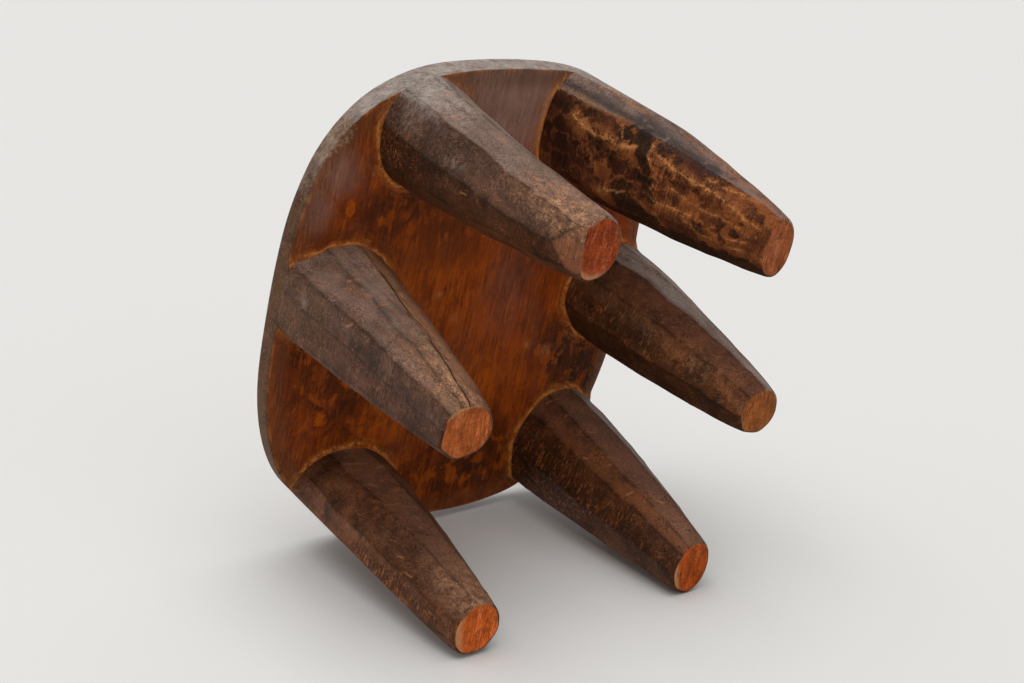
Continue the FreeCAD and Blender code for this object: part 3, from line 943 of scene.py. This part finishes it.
def charred_finish():
    """Scorched leg: dark blocks rubbed through to brown, with golden veins, partly painted highlights
    along the ridges, and a paler glow beside them.
    """
    finish = Wood("charred_leg_wood", 0.05)
    streak, _, fine = fine_grain(finish, 950)
    blotch = finish.noise(46, 6, 0.68)
    cloud = finish.noise(130, 6, 0.72)
    mottle = finish.noise(420, 5, 0.78)
    sway = finish.node("ShaderNodeTexNoise", {}, {"Vector": finish.at, "Scale": 80.0, "Detail": 5.0},
                       output="Color")
    sway = finish.node("ShaderNodeVectorMath", {"operation": "MULTIPLY_ADD"},
                       {0: sway, 1: (0.016, 0.016, 0.016), 2: finish.stretched((1, 1, 0.7))})
    cells = {"Vector": sway, "Scale": 75.0}
    edges = finish.node("ShaderNodeTexVoronoi", {"feature": "DISTANCE_TO_EDGE"}, cells)
    cell_tone = finish.node("ShaderNodeTexVoronoi", {}, cells, output="Color")
    lattice = (1 - finish.step(edges, 0.0, 0.16)) * finish.mark("vein")
    brown = blotch * 0.9 + cell_tone * 0.8 + mottle * 0.6 + cloud * 0.6 - finish.mark("rise") * 0.4
    # Facet lightness, partly painted shade on facets facing away from the light.
    brown = brown + (finish.mark("tone") - 0.45) * 1.3
    finish.colour = finish.mix(finish.step(brown, 0.95, 1.65), CHAR_DARK, CHAR_BROWN)
    glow = finish.mark("glow") * finish.step(cloud + (mottle - 0.5) * 0.5, 0.32, 0.62) * 0.7
    glow = glow.math("MAXIMUM", lattice * finish.step(cloud + (mottle - 0.5) * 0.4, 0.42, 0.62) * 0.6)
    finish.coat(glow, GLOW_BROWN)
    char = finish.mark("char") + (cloud - 0.5) * 1.6 + (mottle - 0.5) * 0.8 - lattice * 0.25
    char = finish.step(char, 0.3, 0.75)
    finish.coat(char * (0.68 + 0.3 * finish.step(mottle, 0.4, 0.6)), CHARRED)
    # Golden veins; the strokes that run along ridges are painted ridge highlights.
    gold_and_highlight = finish.step(finish.mark("gold_and_highlight") + (mottle - 0.5) * 1.8 + (cloud - 0.5) * 1.6, 0.5, 1.2)
    finish.coat(gold_and_highlight * 0.7, GOLD_AND_HIGHLIGHT)
    # Greyed facets: partly weathering, partly painted sheen on facets that face the light.
    grey_and_sheen = finish.mark("grey_and_sheen") * weather_and_sheen_streaks(finish, blotch)
    finish.coat(grey_and_sheen * (1 - gold_and_highlight) * (1 - char * 0.7), WEATHERED_GREY_AND_SHEEN)
    finish.coat(finish.mark("soot") * finish.step(cloud, 0.3, 0.5) * 0.85, SOOT)
    finish.coat(finish.mark("flush") * 0.85 * (1 - gold_and_highlight), weathered(finish))
    height = streak * 0.3 + mottle * 0.7 + cloud * 0.7 - char * 0.4 + gold_and_highlight * 0.3
    finish.vary(fine)
    return finish.surface(0.42 + 0.25 * mottle, height, 0.6 * MM)


def foot_finish():
    """Sawn foot: raw orange-red wood with faint streaks and pores, and a pale lip on one side."""
    finish = Wood("foot_wood", 0.04)
    streak, _, fine = fine_grain(finish, 700, FOOT_GRAIN)
    broad = finish.noise(160, 4, 0.65, 0.4, stretch=FOOT_GRAIN)
    cloud = finish.noise(70, 5, 0.68)
    mottle = finish.noise(380, 5, 0.78)
    uneven = finish.step(cloud + (broad - 0.5) * 0.6, 0.32, 0.68)
    shade = 0.5 + 0.6 * uneven + 0.4 * finish.step(mottle, 0.3, 0.7)
    finish.colour = finish.shade(finish.mark("foot_colour", "Vector"), fine * shade)
    finish.coat(finish.step(mottle + (broad - 0.5) * 1.2, 0.58, 0.76) * 0.35, FOOT_EDGE)
    dark = finish.step(finish.noise(420, 4, 0.7, stretch=FOOT_GRAIN) + (cloud - 0.5) * 0.5, 0.58, 0.7)
    finish.coat(dark * 0.3, RUST_DARK)
    share = finish.mark("end_share")
    lip = finish.step(share + (mottle - 0.5) * 0.3 + (finish.mark("lip") - 1) * 0.5, 0.58, 0.88)
    finish.coat(lip * 0.7, FOOT_EDGE)
    rind = finish.step(share + (mottle - 0.5) * 0.12, 0.96, 1.0) * (1 - finish.mark("lip"))
    finish.coat(rind * 0.6, BROWN_STAIN)
    height = streak * 0.5 + cloud * 0.8 + mottle * 0.6 - dark * 0.5
    return finish.surface(0.6 + 0.15 * streak, height, 0.5 * MM)


def rust_stain(finish, broad, blotch, cloud):
    """Underside of the seat: rust from dark to orange, purple and dark stains, those beside the legs
    partly painted shadows of the legs, blots, streaks and flecks.
    """
    warm = finish.step(blotch + (cloud - 0.5) * 0.5 + (broad - 0.5) * 0.3, 0.28, 0.60)
    finish.colour = finish.mix(warm, RUST_DARK, RUST)
    purple = finish.step(finish.noise(22, 5, 0.6, stretch=(1.2, 0.6, 1)), 0.46, 0.64)
    finish.coat(purple * 0.6, PURPLE_BROWN)
    orange = finish.mark("orange") * finish.step(cloud + (broad - 0.5) * 0.7, 0.36, 0.6)
    orange = (orange * 0.85).math("MAXIMUM", finish.step(broad + (cloud - 0.5) * 0.8, 0.58, 0.74) * 0.5)
    finish.coat(orange, RUST_ORANGE)
    # Dark stain, partly painted shadows cast by the legs onto the underside.
    stain_and_shadow = finish.mark("stain_and_shadow") * finish.step(cloud + (broad - 0.5) * 0.7, 0.34, 0.52)
    stain_and_shadow = (stain_and_shadow * 0.85).math("MAXIMUM", finish.step(finish.noise(30, 7, 0.7), 0.57, 0.72) * 0.35)
    finish.coat(stain_and_shadow, DARK_STAIN)
    blots = finish.noise(52, 4, 0.6, 0.6, stretch=(1, 0.8, 1))
    blotted = finish.mark("blots")
    finish.coat(blotted * finish.step(blots, 0.53, 0.58) * 0.6, RUST_ORANGE)
    finish.coat(blotted * (1 - finish.step(blots, 0.42, 0.47)) * 0.65, DARK_STAIN)
    streaks = finish.noise(300, 4, 0.7, stretch=(1, 0.07, 1)) + (cloud - 0.5) * 0.6
    finish.coat(finish.step(streaks, 0.54, 0.66) * 0.6, RUST_DARK)
    finish.coat((1 - finish.step(streaks, 0.34, 0.44)) * 0.45, RUST_ORANGE)
    flecks = finish.noise(240, 4, 0.7, stretch=(1, 0.3, 1))
    finish.coat(finish.step(flecks, 0.6, 0.7) * 0.5, RUST_DARK)


def rubbed_spots(finish, broad, blotch, cloud, mottle):
    """Underside with smooth mahogany areas, small bare spots and orange embers."""
    polish = 0.8 + 0.3 * finish.step(broad, 0.34, 0.68) + 0.2 * finish.step(cloud, 0.4, 0.6)
    smooth = finish.mark("mahogany") * finish.step(blotch, 0.1, 0.4)
    finish.coat(smooth, finish.shade(MAHOGANY, polish))
    spots = finish.mark("spot") * finish.step(mottle, 0.36, 0.56)
    spots = spots.math("MAXIMUM", finish.step(mottle + (cloud - 0.5) * 0.5, 0.6, 0.74) * 0.4)
    finish.coat(spots * 0.5, NICK)
    ember = finish.mark("ember")
    ragged = finish.step(ember + (mottle - 0.5) * 2.2 + (cloud - 0.5) * 1.6, 0.4, 0.8)
    finish.coat(ragged * finish.step(ember, 0.02, 0.2) * 0.8, RUST_ORANGE)


def raw_and_highlit_round_legs(finish, blotch, cloud, mottle):
    """Underside with raw orange strokes round each leg, partly a painted highlight on the fillet,
    and a broken line of painted highlight.
    """
    gap = finish.mark("leg_gap")
    contour = finish.node("ShaderNodeCombineXYZ", {}, {0: gap * 190, 1: blotch * 9, 2: cloud * 5})
    strokes = finish.step(finish.noise(1.0, 4, 0.65, at=contour), 0.5, 0.64)
    close = 1 - finish.step(gap + (cloud - 0.5) * 0.022 + (mottle - 0.5) * 0.004, 2.5 * MM, 9 * MM)
    near = 1 - finish.step(gap, 5 * MM, 22 * MM)
    # Raw orange close to the legs, partly a painted highlight where the underside rises into each leg.
    raw = close * finish.step(cloud + (mottle - 0.5), 0.34, 0.54) * 0.8
    finish.coat(raw.math("MAXIMUM", near * strokes * 0.5), RAW_ORANGE)
    # Painted highlight: a broken bright orange line along the fillet round each leg.
    fillet_highlight = finish.line(gap * 100 + (cloud - 0.5) * 1.2 + 0.15, 0.18)
    fillet_highlight = fillet_highlight * finish.step(finish.noise(110, 4, 0.7), 0.44, 0.56)
    finish.coat(fillet_highlight * 0.7, HIGHLIGHT_ORANGE)


def seat_top_colour(finish, broad, blotch, cloud, mottle):
    """Dished top: worn brown with dark rings of the log and drying checks along it."""
    colour = finish.mix(finish.step(blotch + (cloud - 0.5) * 0.4, 0.3, 0.7), SEAT_BROWN, SEAT_WORN)
    colour = finish.mix(finish.step(broad, 0.5, 0.7) * 0.6, colour, RED_BROWN)
    colour = finish.mix(finish.step(mottle, 0.6, 0.72) * 0.25, colour, TAN)
    rings = finish.noise(240, 4, 0.65, 0.6, stretch=(1, 0.035, 1))
    colour = finish.mix(finish.step(rings, 0.5, 0.64) * 0.5, colour, SEAT_GRAIN)
    checks = finish.line(finish.noise(60, 3, 0.6, stretch=(1, 0.05, 1)), 0.012)
    return finish.mix(checks * finish.step(cloud, 0.44, 0.56) * 0.8, colour, CHARRED)


def seat_finish():
    """Rust-stained seat: soft blotches, faint streaks, raw orange strokes round the legs with a painted
    highlight, painted shade in the creases at the legs, and a flaked rim, greyed at the rear partly by
    painted sheen.
    """
    finish = Wood("seat_wood", 0.04)
    streak, _, fine = fine_grain(finish, 850)
    broad = finish.noise(130, 5, 0.68, 0.5, stretch=(1, 0.12, 1))
    blotch = finish.noise(17, 4, 0.55, stretch=(1, 0.6, 1))
    cloud = finish.noise(60, 6, 0.64)
    mottle = finish.noise(380, 5, 0.75)
    rust_stain(finish, broad, blotch, cloud)
    rubbed_spots(finish, broad, blotch, cloud, mottle)
    raw_and_highlit_round_legs(finish, blotch, cloud, mottle)
    share = finish.mark("share")
    margin = finish.step(share + (cloud - 0.5) * 0.06, 0.90, 0.96)
    finish.coat(margin * 0.45, WEATHERED_BROWN)
    # A thin orange line at the underside's edge: partly wear, partly a painted edge highlight.
    rim_edge_wear_and_highlight = finish.step(share, 0.988, 0.998) * finish.step(cloud, 0.42, 0.6)
    finish.coat(rim_edge_wear_and_highlight * 0.5, RAW_ORANGE)
    finish.vary(0.45 + 0.55 * fine)
    # Painted shade in the crease where each leg meets the underside.
    crease_shade = 1 - finish.step(finish.mark("leg_gap") + (cloud - 0.5) * 0.002, 0.2 * MM, 1.5 * MM)
    finish.coat(crease_shade * 0.75, CHARRED)
    top = finish.shade(seat_top_colour(finish, broad, blotch, cloud, mottle), fine)
    finish.coat(finish.mark("top_side"), top)
    finish.coat(finish.mark("rim"), weathered(finish))
    flaked = finish.mark("flaked")
    ragged = finish.step(flaked + (cloud - 0.5) * 1.6 + (mottle - 0.5) * 0.8, 0.25, 0.6)
    ragged = ragged * finish.step(flaked, 0.02, 0.2) * (1 - finish.mark("top_side"))
    flakes = finish.mix(finish.step(mottle + (cloud - 0.5), 0.34, 0.70), WEATHERED_BROWN, FLAKED)
    finish.coat(ragged * 0.65, flakes)
    height = streak * 0.3 + cloud * 0.8 + mottle * 0.5 + broad * 0.4
    return finish.surface(0.48 + 0.16 * cloud, height, 0.5 * MM)


# Stage: a floor under the standing stool and one under the tipped stool, each seen from above only
TIPPED_UP = Vector((0.087, 0.981, 0.171)).normalized()
STAGE_SIZE = 12.0
PALE_FLOOR = (0.74, 0.72, 0.69)
COOL_LIGHT = (0.97, 0.985, 1.0)
WARM_LIGHT = (1.0, 0.99, 0.97)
BACKGROUND = (0.95, 0.97, 1.0, 1)

# Camera, fitted to the outlines of the rim, the feet and the legs
CAMERA_PLACE = Vector((0.99521, 0.65689, -1.01262))
CAMERA_TARGET = Vector((0.06759, 0.04173, 0.08040))
CAMERA_UP = Vector((-0.07912, 0.89593, 0.43709))
FOCAL_PIXELS = 2042.26
PHOTO_WIDTH = 1024
SENSOR_WIDTH = 36


def floor_finish(name, lights_stool):
    """A pale matt surface that shows from its front only and lets the lamps through."""
    finish = Finish(name, 0.2)
    finish.plug(finish.shader.inputs["Base Color"], PALE_FLOOR)
    finish.plug(finish.shader.inputs["Roughness"], 0.9)
    back = finish.node("ShaderNodeNewGeometry", {}, {}, output="Backfacing")
    if lights_stool:
        passed = finish.node("ShaderNodeLightPath", {}, {}, output="Is Shadow Ray")
    else:
        passed = 1 - finish.node("ShaderNodeLightPath", {}, {}, output="Is Camera Ray")
    clear = finish.node("ShaderNodeBsdfTransparent", {}, {})
    shown = Wire(finish, finish.shader.outputs[0])
    both = finish.node("ShaderNodeMixShader", {}, {0: back.math("MAXIMUM", passed), 1: shown, 2: clear})
    finish.tree.links.new(both.socket, finish.tree.nodes["Material Output"].inputs["Surface"])
    return finish.material


def make_floor(name, point, up, lights_stool):
    """A wide flat floor through a point, facing a direction."""
    bm = bmesh.new()
    bmesh.ops.create_grid(bm, x_segments=1, y_segments=1, size=STAGE_SIZE / 2)
    turn = Vector((0, 0, 1)).rotation_difference(up).to_matrix().to_4x4()
    bmesh.ops.transform(bm, matrix=Matrix.Translation(point) @ turn, verts=bm.verts)
    mesh = bpy.data.meshes.new(name)
    bm.to_mesh(mesh)
    bm.free()
    mesh.materials.append(floor_finish(name, lights_stool))
    floor = bpy.data.objects.new(name, mesh)
    bpy.context.scene.collection.objects.link(floor)


def make_sun(name, comes_from, power, softness, colour):
    """A broad, even light from one direction."""
    light = bpy.data.lights.new(name, "SUN")
    light.energy = power
    light.angle = math.radians(softness)
    light.color = colour
    lamp = bpy.data.objects.new(name, light)
    lamp.rotation_euler = Vector(comes_from).to_track_quat("Z", "Y").to_euler()
    bpy.context.scene.collection.objects.link(lamp)


def make_world():
    """An even studio, brighter from above."""
    world = bpy.data.worlds.new("studio")
    bpy.context.scene.world = world
    world.use_nodes = True
    sky = Nodes(world.node_tree)
    place = sky.node("ShaderNodeTexCoord", {}, {}, output="Generated")
    up = sky.node("ShaderNodeSeparateXYZ", {}, {0: place}, output="Z")
    seen = sky.node("ShaderNodeLightPath", {}, {}, output="Is Camera Ray")
    strength = (0.25 + 0.25 * sky.step(up, -0.6, 0.6)) * (1 - seen) + 0.8 * seen
    background = world.node_tree.nodes["Background"]
    background.inputs["Color"].default_value = BACKGROUND
    sky.plug(background.inputs["Strength"], strength)


def make_camera():
    """The camera that sees the stool as tipped on its side."""
    lens = bpy.data.cameras.new("camera")
    lens.sensor_width = SENSOR_WIDTH
    lens.lens = FOCAL_PIXELS * SENSOR_WIDTH / PHOTO_WIDTH
    camera = bpy.data.objects.new("camera", lens)
    bpy.context.scene.collection.objects.link(camera)
    ahead = (CAMERA_TARGET - CAMERA_PLACE).normalized()
    right = ahead.cross(CAMERA_UP).normalized()
    turn = Matrix((right, right.cross(ahead), -ahead)).transposed().to_4x4()
    camera.matrix_world = Matrix.Translation(CAMERA_PLACE) @ turn
    bpy.context.scene.camera = camera


# The stool
foot_wood = foot_finish()
leg_woods = {"leg_wood": [leg_finish(), foot_wood], "charred_leg_wood": [charred_finish(), foot_wood]}
pieces = [make_leg(leg, leg_woods[leg.slot]) for leg in LEGS]
pieces.append(make_seat([seat_finish()]))

# The stage
lowest = min(vertex.co.dot(TIPPED_UP) for piece in pieces for vertex in piece.data.vertices)
make_floor("standing_floor", Vector((0, 0, 0)), Vector((0, 0, 1)), lights_stool=False)
make_floor("tipped_floor", TIPPED_UP * lowest, TIPPED_UP, lights_stool=True)
make_sun("sky_over_tipped_stool", TIPPED_UP + Vector((0.1, 0, -0.1)), 2.0, 60, COOL_LIGHT)
make_sun("sky_over_standing_stool", (0.25, -0.45, 1.0), 1.5, 60, WARM_LIGHT)
make_sun("front_fill", (0.25, 0.45, -0.85), 0.7, 90, WARM_LIGHT)
make_world()
make_camera()
bpy.context.scene.view_settings.view_transform = "Standard"
